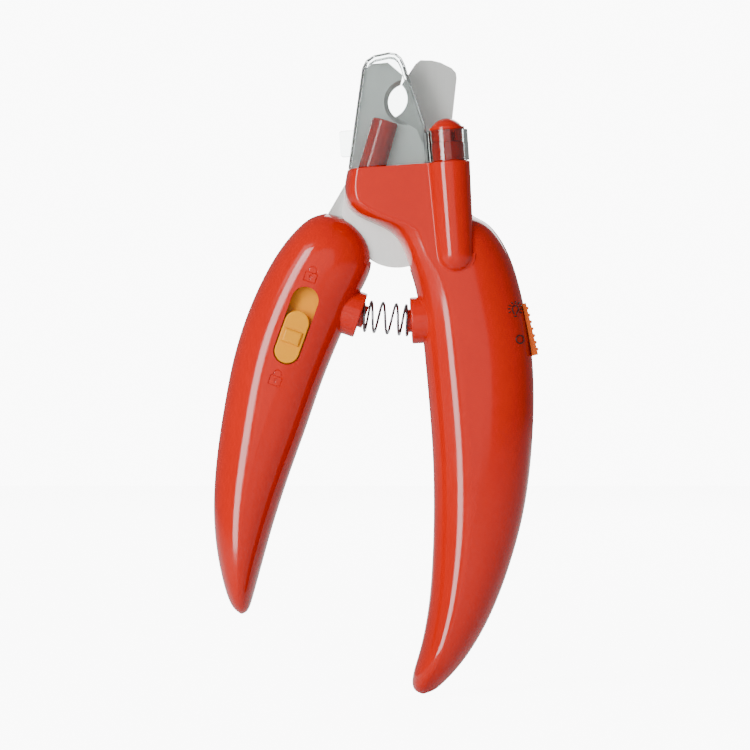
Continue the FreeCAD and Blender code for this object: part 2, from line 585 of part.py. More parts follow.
def right_shells():
    outer_front = handle_half(RIGHT, 1)
    outer_back = handle_half(RIGHT, -1)
    inner_front = handle_half(RIGHT, 1, WALL)
    inner_back = handle_half(RIGHT, -1, WALL)
    every_screw = shell_screw_cuts(RIGHT_SHELL_SCREWS)
    seat_bore = seat_bar("right", SEAT_RADIUS + SEAT_FIT, -6, SEAT_DEPTH["right"] + 0.1)

    blade_bosses = screw_bosses(FIXED_BLADE_SCREWS, FIXED_BLADE_FRONT, 19.0, outer_front)
    shell_bosses = screw_bosses(RIGHT_SHELL_SCREWS, PARTING_Z, 19.0, outer_front)
    post = along_v(POST_RADIUS, POST_RADIUS, SEAM_V - 0.5, POST_TOP_V)
    front = joined([outer_front, hinge_barrel()]).cut(inner_front)
    front = joined([front, post] + blade_bosses + shell_bosses)
    blade_room = prism([(-20, -12.8), (3.6, -12.8), (9.3, -18.0), (9.7, -34.0), (18.8, -34.0), (18.8, -8.8),
                        (13.0, 2.5), (13.0, 20), (-20, 20)], PARTING_Z - 1, FIXED_BLADE_FRONT + 0.05)
    pilot = [disc(SCREW_RADIUS + SCREW_CLEARANCE, 8, 16.4, centre) for centre in FIXED_BLADE_SCREWS]
    cap_bore = along_v(CAP_PIN_RADIUS + 0.03, CAP_PIN_RADIUS + 0.03, POST_TOP_V - CAP_PIN_DEPTH - 0.3,
                       POST_TOP_V + 1)
    tube_hole = tube_bar(TUBE_RADIUS + 0.05, -1, TUBE_LENGTH)
    nut_room = disc(NUT_ROOM_RADIUS, PARTING_Z - 1, FIXED_BLADE_FRONT + NUT_HEIGHT + 0.2)
    front = minus(front, [blade_room, cap_bore, tube_hole, nut_room, seat_bore, switch_slot()] + every_screw
                  + pilot)

    battery_boss = disc(DOOR_RADIUS + 1.7, 0.0, 8.0, BATTERY_UV)
    pivot_boss = disc(PIVOT_BOSS_RADIUS, 0.0, WALL + 0.5)
    sunk_bosses = screw_bosses(RIGHT_SHELL_SCREWS, 0, PARTING_Z, outer_back)
    back = joined([outer_back.cut(inner_back), battery_boss, pivot_boss] + sunk_bosses)
    sweep = prism([(-30, -14.0), (2.0, -14.0), (9.0, -9.3), (14.4, 0.5), (16.0, 20), (-30, 20)],
                  MOVING_BLADE_BACK - 0.3, PARTING_Z + 1)
    sweep_round = disc(HUB_RADIUS + 0.4, MOVING_BLADE_BACK - 0.3, PARTING_Z + 1)
    tang_room = disc(SCREW_HEAD_RADIUS + 0.3, 6, PARTING_Z + 1, FIXED_BLADE_SCREWS[0])
    washer_room = disc(6.0, 4.0, PARTING_Z)
    door_bore = disc(DOOR_RADIUS + 0.1, -1, 2.3, BATTERY_UV)
    cell_bore = disc(CELL_RADIUS + 0.3, -1, 9.0, BATTERY_UV)
    back = minus(back, [sweep, sweep_round, tang_room, washer_room, door_bore, cell_bore, seat_bore,
                        switch_slot()] + every_screw)
    return front, back


def left_shells():
    outer_front = handle_half(LEFT, 1)
    outer_back = handle_half(LEFT, -1)
    inner_front = handle_half(LEFT, 1, WALL)
    inner_back = handle_half(LEFT, -1, WALL)
    every_screw = shell_screw_cuts(LEFT_SHELL_SCREWS + MOVING_BLADE_SCREWS)
    seat_bore = seat_bar("left", SEAT_RADIUS - 0.05 + SEAT_FIT, -6, SEAT_DEPTH["left"] + 0.1)
    hub_room = disc(HUB_RADIUS + 0.4, MOVING_BLADE_BACK - 0.1, FIXED_BLADE_FRONT + 0.2)
    corner_room = disc(14.6, FIXED_BLADE_BACK - 0.05, FIXED_BLADE_FRONT + 0.2).common(
        prism([(-15.05, -0.98), (-10.11, -6.08), (0, -6.08), (0, 20), (-15.05, 20)], 0, 2 * PARTING_Z))

    front = outer_front.cut(inner_front)
    front = joined([front] + screw_bosses(LEFT_SHELL_SCREWS, PARTING_Z, 19.0, outer_front))
    slot = lock_frame(rounded_slot(SLOT_RADIUS, SLOT_LENGTH, 14, 24))
    icons = padlock((-17.3, -18.7), LOCK_SLANT, False) + padlock((-19.8, -45.6), LOCK_SLANT, True)
    core = handle_half(LEFT, 1, ICON_DEPTH)
    icon_cuts = [icon.cut(core) for icon in icons]
    shank_room = prism([(-18.0, 2), (-19.9, -14.0), (-21.2, -37.0), (-12.4, -37.0), (-12.0, -20.0),
                        (-7.0, -8.0), (0, 2)], MOVING_BLADE_BACK - 0.05, PARTING_Z + 0.05)
    bolt_room = prism([(-17.6, -20.6), (-17.6, -9.0), (-6.0, -9.0), (-6.0, -18.95)],
                      PARTING_Z - 0.1, FIXED_BLADE_FRONT + 0.3)
    front = minus(front, [slot, hub_room, corner_room, seat_bore, shank_room, bolt_room] + every_screw + icon_cuts)

    back = outer_back.cut(inner_back)
    back = joined([back] + screw_bosses(LEFT_SHELL_SCREWS, 0, PARTING_Z, outer_back)
                  + screw_bosses(MOVING_BLADE_SCREWS, 0, MOVING_BLADE_BACK, outer_back))
    back = minus(back, [hub_room, seat_bore, shank_room, bolt_room] + every_screw)
    return front, back


def lock_button():
    """The yellow slider: base plate under the slot, flush button and a raised thumb ridge."""
    plate_low, plate_high = 15.7, 16.9
    plate = block((-3.9, 3.9), (-9.8, 17.3), (plate_low, plate_high))
    button = rounded_slot(BUTTON_RADIUS, BUTTON_LENGTH, plate_high - 0.2, 19.85)
    top_edges = [edge for edge in button.Edges if edge.BoundBox.ZMin > 19.8]
    button = button.makeFillet(0.35, top_edges)
    ridge = block((-2.3, 2.3), (1.9, 5.4), (19.5, 20.6))
    ridge_edges = [edge for edge in ridge.Edges if edge.BoundBox.ZMin > 20.5]
    ridge = ridge.makeFillet(0.6, ridge_edges)
    foot = block((-2.4, 2.4), (1.0, 6.2), (14.3, plate_low + 0.2))
    foot = foot.cut(block((-1.25, 1.25), (1.9, 5.3), (13, plate_low)))
    return lock_frame(joined([plate, button, ridge, foot]))


def lock_bolt():
    """A flat steel bolt: a stud up to the button, an arm and a finger aimed at the hub."""
    back = FIXED_BLADE_BACK
    front = FIXED_BLADE_FRONT
    bar = prism([(-20.0, -37.5), (-16.2, -37.5), (-14.2, -18.95), (-6.7, -18.95), (-6.7, -16.45),
                 (-17.0, -16.45)], back, front)
    finger = bolt_tip(BOLT_TIP_WIDTH, -13.6, back + BOLT_TIP_THICKNESS).common(
        block((-30, 30), (-30, 0), (back, front)))
    stud = lock_frame(block((-1.2, 1.2), (2.0, 5.2), (front - 0.2, 15.6)))
    return joined([bar, finger, stud])


# ---- guard ----
GUARD_OUTLINE = [(-11.2, GUARD_BOTTOM_V), (-6.1, 37.4), (-5.0, 39.3), (-3.0, 40.4), (0.8, 40.9), (2.6, 40.5),
                 (3.8, 39.4), (4.6, 37.4), (5.2, 34.7), (8.6, 21.8), (8.6, GUARD_BOTTOM_V)]


def nail_guard():
    """A clear open-backed box over the front blade, with a sleeve that turns on the post."""
    outer = prism(GUARD_OUTLINE, GUARD_BACK_Z, GUARD_FRONT_Z)
    front_edges = [edge for edge in outer.Edges if edge.BoundBox.ZMin > GUARD_FRONT_Z - 0.01
                   and edge.BoundBox.YMax > GUARD_BOTTOM_V + 0.1]
    corner_edges = [edge for edge in outer.Edges if edge.BoundBox.ZLength > 5
                    and edge.BoundBox.YMin > GUARD_BOTTOM_V + 0.1]
    outer = outer.makeFillet(1.0, front_edges + corner_edges)
    wall = GUARD_WALL
    inner = prism([(-11.2 + wall, 0), (-11.2 + wall, GUARD_BOTTOM_V), (-5.0, 37.0), (-4.2, 38.5), (-2.7, 39.3),
                   (0.8, 39.8), (2.1, 39.5), (2.9, 38.7), (3.6, 37.0), (4.1, 34.4), (7.5, 21.7), (7.5, 0)],
                  GUARD_BACK_Z - 1, GUARD_FRONT_Z - wall)
    box = outer.cut(inner)
    sleeve = along_v(SLEEVE_RADIUS, SLEEVE_RADIUS, GUARD_BOTTOM_V, SLEEVE_TOP_V)
    web = block((8.0, HINGE_U), (GUARD_BOTTOM_V, SLEEVE_TOP_V - 0.4), (GUARD_FRONT_Z - 1.5, GUARD_FRONT_Z - 0.1))
    bore = along_v(SLEEVE_BORE, SLEEVE_BORE, 0, 40)
    tab = block((-12.9, -9.0), (16.0, 22.4), (GUARD_FRONT_Z - 5.2, GUARD_FRONT_Z - 3.4))
    tab = tab.makeFillet(0.8, [edge for edge in tab.Edges if edge.BoundBox.ZLength > 1
                               and edge.BoundBox.XMax < -12])
    tab = tab.cut(inner)
    return joined([box, sleeve, web, tab]).cut(bore)


# ---- spring and seats ----
def spring_seat(side):
    """A round stud in the handle's inner edge, with a low boss that centres the spring."""
    radius = SEAT_RADIUS if side == "right" else SEAT_RADIUS - 0.05
    body = seat_bar(side, radius, 0, SEAT_DEPTH[side])
    face, direction = SEATS[side]
    rim = [edge for edge in body.Edges if len(edge.Vertexes) == 1
           and (edge.BoundBox.Center - V3(face[0], face[1], PARTING_Z)).Length < 0.5]
    body = body.makeFillet(0.4, rim)
    return joined([body, seat_bar(side, 2.9, -1.2, 0.2)])


def flat_point(point, tilt):
    turn = math.radians(tilt)
    return V3(point[0] * math.cos(turn) - point[1] * math.sin(turn),
              point[0] * math.sin(turn) + point[1] * math.cos(turn), PARTING_Z)


def return_spring():
    """An open coil between the two seats, drawn about its own axis and laid between them."""
    start = flat_point(SEATS["left"][0], LEFT_TILT)
    end = flat_point(SEATS["right"][0], HEAD_TILT)
    run = end - start
    gap = SPRING_WIRE_RADIUS + 0.35
    length = run.Length - 2 * gap
    helix = Part.makeHelix(length / SPRING_TURNS, length, SPRING_RADIUS)
    ring = Part.Wire(Part.makeCircle(SPRING_WIRE_RADIUS, V3(SPRING_RADIUS, 0, 0), V3(0, 1, 0)))
    coil = Part.Wire(helix).makePipeShell([ring], True, True)
    coil.Placement = FreeCAD.Placement(start + run * (gap / run.Length),
                                       FreeCAD.Rotation(Z_AXIS, run))
    return coil


# ---- battery, board and switch ----
def battery_door():
    """A round twist-lock cover with a coin slot, flush with the boss around it."""
    door = disc(DOOR_RADIUS, 0.0, 2.2, BATTERY_UV)
    door = door.makeFillet(0.5, [edge for edge in door.Edges if edge.BoundBox.ZMax < 0.01])
    slot = block((BATTERY_UV[0] - 5.5, BATTERY_UV[0] + 5.5), (BATTERY_UV[1] - 0.8, BATTERY_UV[1] + 0.8), (-1, 1.0))
    return door.cut(slot)


def button_cells():
    cells = []
    for k in range(CELL_COUNT):
        z_low = 2.9 + k * (CELL_HEIGHT + 0.02)
        can = disc(CELL_RADIUS, z_low, z_low + CELL_HEIGHT, BATTERY_UV)
        can = can.makeFillet(0.4, [edge for edge in can.Edges if edge.BoundBox.ZLength < 0.01])
        cells.append(can)
    return Part.makeCompound(cells)


def battery_contacts():
    """The sprung strip on the front side of the stack and the strip under the door."""
    stack_top = 2.9 + CELL_COUNT * (CELL_HEIGHT + 0.02)
    u, v = BATTERY_UV
    upper = joined([block((u - 2.5, u + 2.5), (v - 4.5, v + 13.0), (stack_top + 0.6, stack_top + 1.0)),
                    disc(1.6, stack_top + 0.02, stack_top + 0.8, BATTERY_UV)])
    lower = disc(4.6, 2.35, 2.8, BATTERY_UV)
    return upper, lower


def light_circuit_board():
    return on_switch(block((-10.6, -9.6), (-3.0, 17.0), (PARTING_Z - 4.0, PARTING_Z + 4.0)))


def slide_switch_body():
    """The board's slide switch; its lever stands in the thumb slider's fork."""
    body = on_switch(block((-9.6, -5.9), (2.0, 13.5), (PARTING_Z - 2.4, PARTING_Z + 2.4)))
    return body


def main():
    os.makedirs("parts", exist_ok=True)
    right_front, right_back = right_shells()
    left_front, left_back = left_shells()
    bolt, washer, nut = pivot_parts()
    contact_front, contact_back = battery_contacts()

    in_head_frame = {
        "right_front_shell": right_front,
        "right_rear_shell": right_back,
        "right_shell_screws": screw_group(RIGHT_SHELL_SCREWS, SHELL_SCREW_HEAD_Z, SHELL_SCREW_HEAD,
                                          SHELL_SCREW_TIP_Z),
        "fixed_blade": fixed_blade(),
        "fixed_blade_screws": screw_group(FIXED_BLADE_SCREWS, FIXED_BLADE_BACK - BLADE_SCREW_HEAD,
                                          BLADE_SCREW_HEAD, 16.2),
        "pivot_bolt": bolt,
        "pivot_washer": washer,
        "pivot_nut": nut,
        "guard_cap": guard_cap(),
        "nail_guard": nail_guard(),
        "led_tube": led_tube(),
        "led_lamp": led_lamp(),
        "led_wires": led_wires(),
        "spring_seat_right": spring_seat("right"),
        "battery_door": battery_door(),
        "button_cells": button_cells(),
        "battery_contact_front": contact_front,
        "battery_contact_rear": contact_back,
        "light_circuit_board": light_circuit_board(),
        "slide_switch_body": slide_switch_body(),
        "light_switch_slider": light_switch_slider(),
    }
    in_left_frame = {
        "left_front_shell": left_front,
        "left_rear_shell": left_back,
        "left_shell_screws": screw_group(LEFT_SHELL_SCREWS, SHELL_SCREW_HEAD_Z, SHELL_SCREW_HEAD,
                                         SHELL_SCREW_TIP_Z),
        "moving_blade": moving_blade(),
        "moving_blade_screws": screw_group(MOVING_BLADE_SCREWS, SHELL_SCREW_HEAD_Z, SHELL_SCREW_HEAD,
                                           MOVING_BLADE_BACK + BLADE_THICKNESS),
        "spring_seat_left": spring_seat("left"),
        "lock_button": lock_button(),
        "lock_bolt": lock_bolt(),
    }
    for name, shape in in_head_frame.items():
        save(name, shape, HEAD_TILT)
    for name, shape in in_left_frame.items():
        save(name, shape, LEFT_TILT)
    save("return_spring", return_spring(), 0.0)


main()
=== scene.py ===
import math

import bmesh
import bpy
from mathutils import Matrix, Vector


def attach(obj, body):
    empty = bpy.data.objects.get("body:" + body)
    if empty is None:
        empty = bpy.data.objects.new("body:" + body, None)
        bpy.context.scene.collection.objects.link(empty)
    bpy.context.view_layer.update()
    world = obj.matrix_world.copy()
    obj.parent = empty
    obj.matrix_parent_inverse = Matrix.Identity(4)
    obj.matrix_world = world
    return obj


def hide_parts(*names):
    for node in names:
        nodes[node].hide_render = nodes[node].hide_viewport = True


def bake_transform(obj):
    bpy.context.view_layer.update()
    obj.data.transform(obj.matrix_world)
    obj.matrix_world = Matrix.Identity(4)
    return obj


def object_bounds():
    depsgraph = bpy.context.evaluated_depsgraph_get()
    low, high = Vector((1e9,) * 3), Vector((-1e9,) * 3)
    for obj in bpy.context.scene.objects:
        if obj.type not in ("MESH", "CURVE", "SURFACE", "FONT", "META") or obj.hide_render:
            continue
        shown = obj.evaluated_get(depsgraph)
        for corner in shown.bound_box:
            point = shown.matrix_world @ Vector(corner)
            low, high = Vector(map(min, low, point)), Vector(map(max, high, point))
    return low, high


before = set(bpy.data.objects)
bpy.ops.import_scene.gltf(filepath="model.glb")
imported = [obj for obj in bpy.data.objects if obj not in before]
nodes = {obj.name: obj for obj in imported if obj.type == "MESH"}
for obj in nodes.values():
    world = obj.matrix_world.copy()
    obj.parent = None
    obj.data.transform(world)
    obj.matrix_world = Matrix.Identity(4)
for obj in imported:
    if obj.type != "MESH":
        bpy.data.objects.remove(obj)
cad_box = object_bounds()

# ---- sizes, millimetres and degrees, as the design has them ----
MM = 0.001
HEAD_TILT = 4.0
LEFT_TILT = -13.5
PARTING = 10.0
FRONT_DEPTH = 10.0
BACK_DEPTH = 9.6
WALL = 2.0
SEAM_V = 12.8
HINGE_U = 13.7
HINGE_Z = 18.2
BARREL_TOP_RADIUS = 5.25
BARREL_LOW_RADIUS = 4.6
BARREL_BOTTOM_V = -10.2
POST_RADIUS = 4.0
POST_TOP_V = 17.7
HUB_RADIUS = 12.2
BLADE_BACK = 8.0
BLADE_FRONT = 11.9
SLOT_RADIUS = 3.375
SLOT_LENGTH = 13.27
SLOT_FOOT = (-18.8, -38.5)
SLOT_SLANT = -6.06
SWITCH_FOOT = (32.1, -36.4)
SWITCH_SLANT = 9.46
BATTERY = (17.0, -72.0)
DOOR_RADIUS = 7.8
PIVOT_BOSS_RADIUS = 8.0
SCREW_RECESS = 2.25
RIGHT_SCREWS = [(23.2, -19.0), (19.0, -50.0), (5.5, -102.0)]
LEFT_SCREWS = [(-21.0, -53.5), (-20.5, -73.0), (-18.5, -94.0), (-16.0, -15.0), (-16.8, -32.0)]
SPRING_WIRE = 0.32
SPRING_RADIUS = 3.8
SPRING_TURNS = 4.6
SPRING_SEAT_V = -25.6
LEFT_SEAT_U = -3.2
RIGHT_SEAT_U = 1.7
SPRING_END_GAP = 0.15
SPRING_BUNCHING = 0.055
SPRING_POINTS_PER_TURN = 28
BLEND_RADIUS = 1.1
BLEND_FOOT = 1.0
NOSE_REACH = 11.0
END_SLACK = 0.05
LEAST_SECTION = 0.3
ROUNDED_SHARE = 0.96
ARCH_STEPS = 6
PARTING_GAP = 0.06
HUB_GAP = 0.4
SWEEP_GAP = 0.3
RING_WIDTH = 1.7
GROOVE_RADIUS = 0.17
SIGN_GROOVE_RADIUS = 0.19
INK_RADIUS = 0.15
WELD = 0.002

# The angles past which an edge is drawn sharp, in radians.
CREASE = math.radians(40)
NODE_CREASE = math.radians(35)
FILLET_CREASE = math.radians(50)

# Signs on the handles: centres and slants.
LAMP_SIGN = (27.7, -24.6)
LAMP_SLANT = -4.0
OFF_SIGN = (28.3, -32.2)
CLOSED_SIGN = (-17.3, -18.7)
OPEN_SIGN = (-19.8, -45.6)

# Room left in the shells for the blades, as outlines in each handle's own frame.
FRONT_BLADE_ROOM = [(-20, -12.8), (3.6, -12.8), (9.3, -18.0), (13.0, 2.5), (13.0, 20), (-20, 20)]
BACK_BLADE_ROOM = [(-30, -14.0), (2.0, -14.0), (9.0, -9.3), (14.4, 0.5), (16.0, 20), (-30, 20)]
SHANK_ROOM = [(-18.0, 2), (-19.9, -14.0), (-12.0, -20.0), (-7.0, -8.0), (0, 2)]

# Light, in Blender's own units, and soft boxes as (name, place, size, watts), in metres.
TENT_LIGHT = 0.25
TENT_WHITE = 10.0
FLOOR_GLOW = 9.0
LIT_POINT = (0.0, -0.01, -0.04)
SOFT_BOXES = [("strip_left", (-0.42, -0.62, 0.02), (0.24, 0.9), 11.0),
              ("key_left", (-0.75, -0.75, 0.65), (0.5, 0.5), 2.0),
              ("front_card", (0.0, -1.4, 0.1), (0.9, 0.9), 1.9),
              ("back_fill", (0.3, 1.0, 0.6), (0.7, 0.7), 8.0)]

# The camera stands square to the front.
CAMERA_DISTANCE = 0.85
VIEW_WIDTH = 187.5
VIEW_CENTRE = (-5.5, -39.0)
SENSOR_WIDTH = 36.0

# Handle outlines seen from the front, as (u, v): u across the handle, v along it, pivot at (0, 0).
RIGHT_INNER = [(-11.6, 12.8), (-12.8, 7.6), (-12.5, 4.3), (-10.2, 1.5), (-5.9, -0.9), (-2.1, -3.1),
               (0.4, -6.4), (2.1, -12.2), (3.9, -19.7), (4.6, -36.0), (4.9, -58.1), (4.2, -72.3),
               (1.9, -93.3), (-1.1, -106.2), (-4.0, -113.9), (-4.4, -116.2), (-3.9, -117.9), (-1.9, -118.9)]
RIGHT_OUTER = [(17.4, 12.8), (17.6, 4.0), (19.0, -0.9), (21.7, -2.0), (24.3, -4.9), (26.8, -9.4),
               (28.5, -14.7), (29.7, -20.8), (31.5, -36.1), (31.3, -44.3), (29.9, -58.2), (27.0, -73.9),
               (22.3, -87.8), (16.1, -101.1), (9.1, -111.1), (3.4, -116.5), (0.6, -118.4), (-1.7, -118.9)]
LEFT_OUTER = [(-17.5, -2.7), (-20.9, -4.6), (-24.2, -9.1), (-27.2, -15.7), (-29.8, -25.3), (-31.3, -35.4),
              (-31.7, -45.0), (-31.2, -54.0), (-30.1, -67.8), (-28.3, -78.9), (-25.7, -88.0),
              (-21.8, -97.0), (-18.2, -103.0), (-16.4, -104.6), (-14.9, -105.1)]
LEFT_INNER = [(-14.9, -2.7), (-11.6, -3.4), (-8.8, -4.8), (-5.5, -7.6), (-3.6, -11.7), (-3.3, -14.2),
              (-4.8, -19.6), (-6.8, -31.1), (-8.8, -43.2), (-9.9, -56.2), (-11.3, -68.0), (-12.4, -82.7),
              (-12.8, -95.6), (-13.1, -102.8), (-13.7, -104.5), (-14.7, -105.1)]
# How far the faces round over from the edges of low and high u, as (v, low side, high side).
RIGHT_ROUNDING = [(12.8, 3.0, 3.0), (5.0, 3.4, 4.0), (1.5, 5.0, 6.0), (-3.0, 6.5, 9.0), (-9.0, 5.5, 11.0),
                  (-20.0, 8.5, 12.5), (-70.0, 9.0, 12.5), (-118.9, 9.0, 12.5)]
LEFT_ROUNDING = [(-2.7, 9.0, 10.0), (-20.0, 9.5, 11.0), (-60.0, 9.0, 9.5), (-105.1, 9.0, 9.0)]
RIGHT_STATIONS = [12.8, 9.5, 6.5, 4.0, 2.2, 0.8, -0.6, -1.8, -3.2, -5.0, -7.5, -11.0, -15.5, -21.0, -29.0,
                  -38.0, -48.0, -58.0, -68.0, -78.0, -88.0, -96.0, -103.0, -108.5, -112.5, -115.3, -117.1,
                  -118.2, -118.8]
LEFT_STATIONS = [-2.8, -3.2, -4.0, -5.2, -7.0, -9.5, -12.5, -16.0, -21.0, -28.0, -36.0, -45.0, -55.0,
                 -65.0, -75.0, -84.0, -91.0, -96.5, -100.5, -103.0, -104.4, -105.0]
RIGHT = {"low": RIGHT_INNER, "high": RIGHT_OUTER, "rounding": RIGHT_ROUNDING, "stations": RIGHT_STATIONS,
         "flat_top": True, "tilt": HEAD_TILT, "body": "right_handle"}
LEFT = {"low": LEFT_OUTER, "high": LEFT_INNER, "rounding": LEFT_ROUNDING, "stations": LEFT_STATIONS,
        "flat_top": False, "tilt": LEFT_TILT, "body": "left_handle"}


def stood(u, v, z, tilt):
    """A point of a handle's own frame, in millimetres, in the row frame in metres."""
    turn = math.radians(tilt)
    x = u * math.cos(turn) - v * math.sin(turn)
    y = u * math.sin(turn) + v * math.cos(turn)
    return Vector((x, -z, y)) * MM


def stand_matrix(tilt):
    """The same placing as a matrix, for meshes drawn in millimetres in a handle's frame."""
    upright = Matrix.Scale(MM, 4) @ Matrix.Rotation(math.pi / 2, 4, "X")
    return upright @ Matrix.Rotation(math.radians(tilt), 4, "Z")


# ---- materials ----
def linear(code):
    """An sRGB hex colour as linear RGBA."""
    channels = [int(code[i:i + 2], 16) / 255 for i in (0, 2, 4)]
    return [c / 12.92 if c <= 0.04045 else ((c + 0.055) / 1.055) ** 2.4 for c in channels] + [1.0]


def add_node(tree, kind, settings=None, links=None):
    """A node with its settings, by property or input name, and links from other nodes' outputs."""
    node = tree.nodes.new(kind)
    for key, value in (settings or {}).items():
        if isinstance(key, int) or key in node.inputs:
            node.inputs[key].default_value = value
        else:
            setattr(node, key, value)
    for key, (source, output) in (links or {}).items():
        tree.links.new(source.outputs[output], node.inputs[key])
    return node


def new_material(name):
    """A material with its tree, its shader and the object's own coordinates."""
    material = bpy.data.materials.new(name)
    material.use_nodes = True
    tree = material.node_tree
    place = add_node(tree, "ShaderNodeTexCoord")
    return material, tree, tree.nodes["Principled BSDF"], (place, "Object")


def noise(tree, place, grain, detail, roughness=0.5):
    """Noise with grains of the given size in millimetres."""
    settings = {"Scale": 1 / (grain * MM), "Detail": detail, "Roughness": roughness}
    return add_node(tree, "ShaderNodeTexNoise", settings, {"Vector": place})


def mixed(tree, colour, other, source):
    """Two colours mixed by a noise."""
    settings = {"data_type": "RGBA", 6: linear(colour), 7: linear(other)}
    return add_node(tree, "ShaderNodeMix", settings, {"Factor": (source, "Fac")})


def stretched(tree, source, before, after):
    """A noise's values between two bounds, spread between two others."""
    settings = {"From Min": before[0], "From Max": before[1], "To Min": after[0], "To Max": after[1]}
    return add_node(tree, "ShaderNodeMapRange", settings, {"Value": (source, "Fac")})


def bumps(tree, source, strength, height):
    """Surface relief from a noise, with its height in millimetres."""
    settings = {"Strength": strength, "Distance": height * MM}
    return add_node(tree, "ShaderNodeBump", settings, {"Height": (source, "Fac")})


def dress(tree, shader, tint=None, dullness=None, relief=None):
    """Link a colour, a roughness and a relief to the shader, as far as they are given."""
    for node, output, socket in ((tint, 2, "Base Color"), (dullness, "Result", "Roughness"),
                                 (relief, "Normal", "Normal")):
        if node is not None:
            tree.links.new(node.outputs[output], shader.inputs[socket])


def moulded_abs(name, colour, deep_colour, roughness, glossiness=0.5):
    """Gloss ABS from a polished mould: an even colour that deepens a little in patches of about 12 mm,
    a faint 1.5 mm orange-peel ripple, and fine handling haze that breaks up the gloss."""
    material, tree, shader, place = new_material(name)
    flow = noise(tree, place, 12, 2.0)
    haze = noise(tree, place, 4, 6.0, 0.6)
    peel = noise(tree, place, 1.5, 1.0)
    dress(tree, shader, mixed(tree, colour, deep_colour, flow),
          stretched(tree, haze, (0.35, 0.75), (roughness, roughness + 0.05)), bumps(tree, peel, 0.25, 0.006))
    shader.inputs["IOR"].default_value = 1.53
    shader.inputs["Specular IOR Level"].default_value = glossiness
    return material


def brushed_stainless(name, colour, pale_colour, angle, roughness):
    """Stainless sheet brushed on a belt: fine parallel scratches, drawn 0.25 mm apart so that they show,
    with broad bands where the belt pressed harder."""
    material, tree, shader, place = new_material(name)
    lie = add_node(tree, "ShaderNodeMapping",
                   {"Rotation": (0, math.radians(angle), 0), "Scale": (1, 1, 0.02)}, {"Vector": place})
    scratches = noise(tree, (lie, "Vector"), 0.25, 3.0)
    bands = noise(tree, (lie, "Vector"), 5, 2.0)
    dress(tree, shader, mixed(tree, colour, pale_colour, bands),
          stretched(tree, scratches, (0.3, 0.7), (roughness - 0.06, roughness + 0.08)),
          bumps(tree, scratches, 0.35, 0.006))
    shader.inputs["Metallic"].default_value = 1.0
    return material


def plated_steel(name, colour, dull_colour, roughness):
    """Plated wire and screws: bright metal with small cloudy patches about 1 mm across."""
    material, tree, shader, place = new_material(name)
    clouds = noise(tree, place, 1, 4.0)
    dress(tree, shader, mixed(tree, colour, dull_colour, clouds),
          stretched(tree, clouds, (0.3, 0.7), (roughness, roughness + 0.12)))
    shader.inputs["Metallic"].default_value = 1.0
    return material


def clear_polycarbonate(name):
    """Water-clear moulded polycarbonate: a high index, and faint scuffs that catch the light."""
    material, tree, shader, place = new_material(name)
    scuffs = noise(tree, place, 3, 8.0, 0.7)
    dress(tree, shader, dullness=stretched(tree, scuffs, (0.5, 0.8), (0.01, 0.07)))
    shader.inputs["Base Color"].default_value = linear("E4EAE9")
    shader.inputs["Transmission Weight"].default_value = 1.0
    shader.inputs["IOR"].default_value = 1.5
    return material


def matt_moulding(name, colour, pale_colour, roughness):
    """Small moulded or coated inner parts: speckled colour on a 0.8 mm grain, satin surface."""
    material, tree, shader, place = new_material(name)
    grain = noise(tree, place, 0.8, 3.0)
    dress(tree, shader, mixed(tree, colour, pale_colour, grain), relief=bumps(tree, grain, 0.3, 0.01))
    shader.inputs["Roughness"].default_value = roughness
    return material


red_abs = moulded_abs("red_gloss_ABS", "C81A00", "BE1600", 0.10, 0.4)
yellow_abs = moulded_abs("yellow_gloss_ABS", "EC9C00", "E49400", 0.22, 0.2)
orange_abs = moulded_abs("orange_gloss_ABS", "CC5400", "C24C00", 0.2, 0.25)
front_steel = brushed_stainless("brushed_stainless_front_blade", "E8E9E6", "F2F3F0", 20, 0.46)
# The back blade is the same stainless as the front one, drawn a darker grey: painted shade for the blade
# that lies behind the front blade.
back_steel_painted_shade = brushed_stainless("brushed_stainless_back_blade_painted_shade", "C2C3C0", "CECFCC", -15, 0.46)
zinc = plated_steel("zinc_plated_steel", "C8CACC", "9EA2A6", 0.28)
spring_steel = plated_steel("bright_spring_wire", "88888C", "66666A", 0.12)
nickel = plated_steel("nickel_plated_can", "CFCFCD", "B0AFAA", 0.22)
brass = plated_steel("spring_brass_strip", "D8BC6A", "B89A50", 0.3)
clear_plastic = clear_polycarbonate("clear_polycarbonate")
smoked_epoxy = moulded_abs("smoked_epoxy_lens", "2A2A30", "1C1C22", 0.06)
pvc_sheath = matt_moulding("black_PVC_sheath", "181818", "262626", 0.5)
solder_mask = matt_moulding("green_solder_mask", "1E6B3A", "2A7C48", 0.4)
black_nylon = matt_moulding("black_moulded_nylon", "1A1A1A", "2A2A2A", 0.45)
mark_ink = matt_moulding("dark_filled_marking", "2A0A06", "3A100A", 0.5)

NODE_FINISH = {
    "guard_cap": red_abs, "led_tube": red_abs, "spring_seat_right": red_abs,
    "spring_seat_left": red_abs, "battery_door": red_abs, "fixed_blade": front_steel,
    "moving_blade": back_steel_painted_shade, "right_shell_screws": zinc, "left_shell_screws": zinc,
    "fixed_blade_screws": zinc, "moving_blade_screws": zinc, "pivot_bolt": zinc, "pivot_washer": zinc,
    "pivot_nut": zinc, "lock_bolt": zinc, "nail_guard": clear_plastic, "lock_button": yellow_abs,
    "light_switch_slider": orange_abs, "led_lamp": smoked_epoxy, "led_wires": pvc_sheath,
    "button_cells": nickel, "battery_contact_front": brass, "battery_contact_rear": brass,
    "light_circuit_board": solder_mask, "slide_switch_body": black_nylon, "right_front_shell": red_abs,
    "right_rear_shell": red_abs, "left_front_shell": red_abs, "left_rear_shell": red_abs,
    "return_spring": spring_steel,
}
for node_name, finish in NODE_FINISH.items():
    nodes[node_name].data.materials.clear()
    nodes[node_name].data.materials.append(finish)


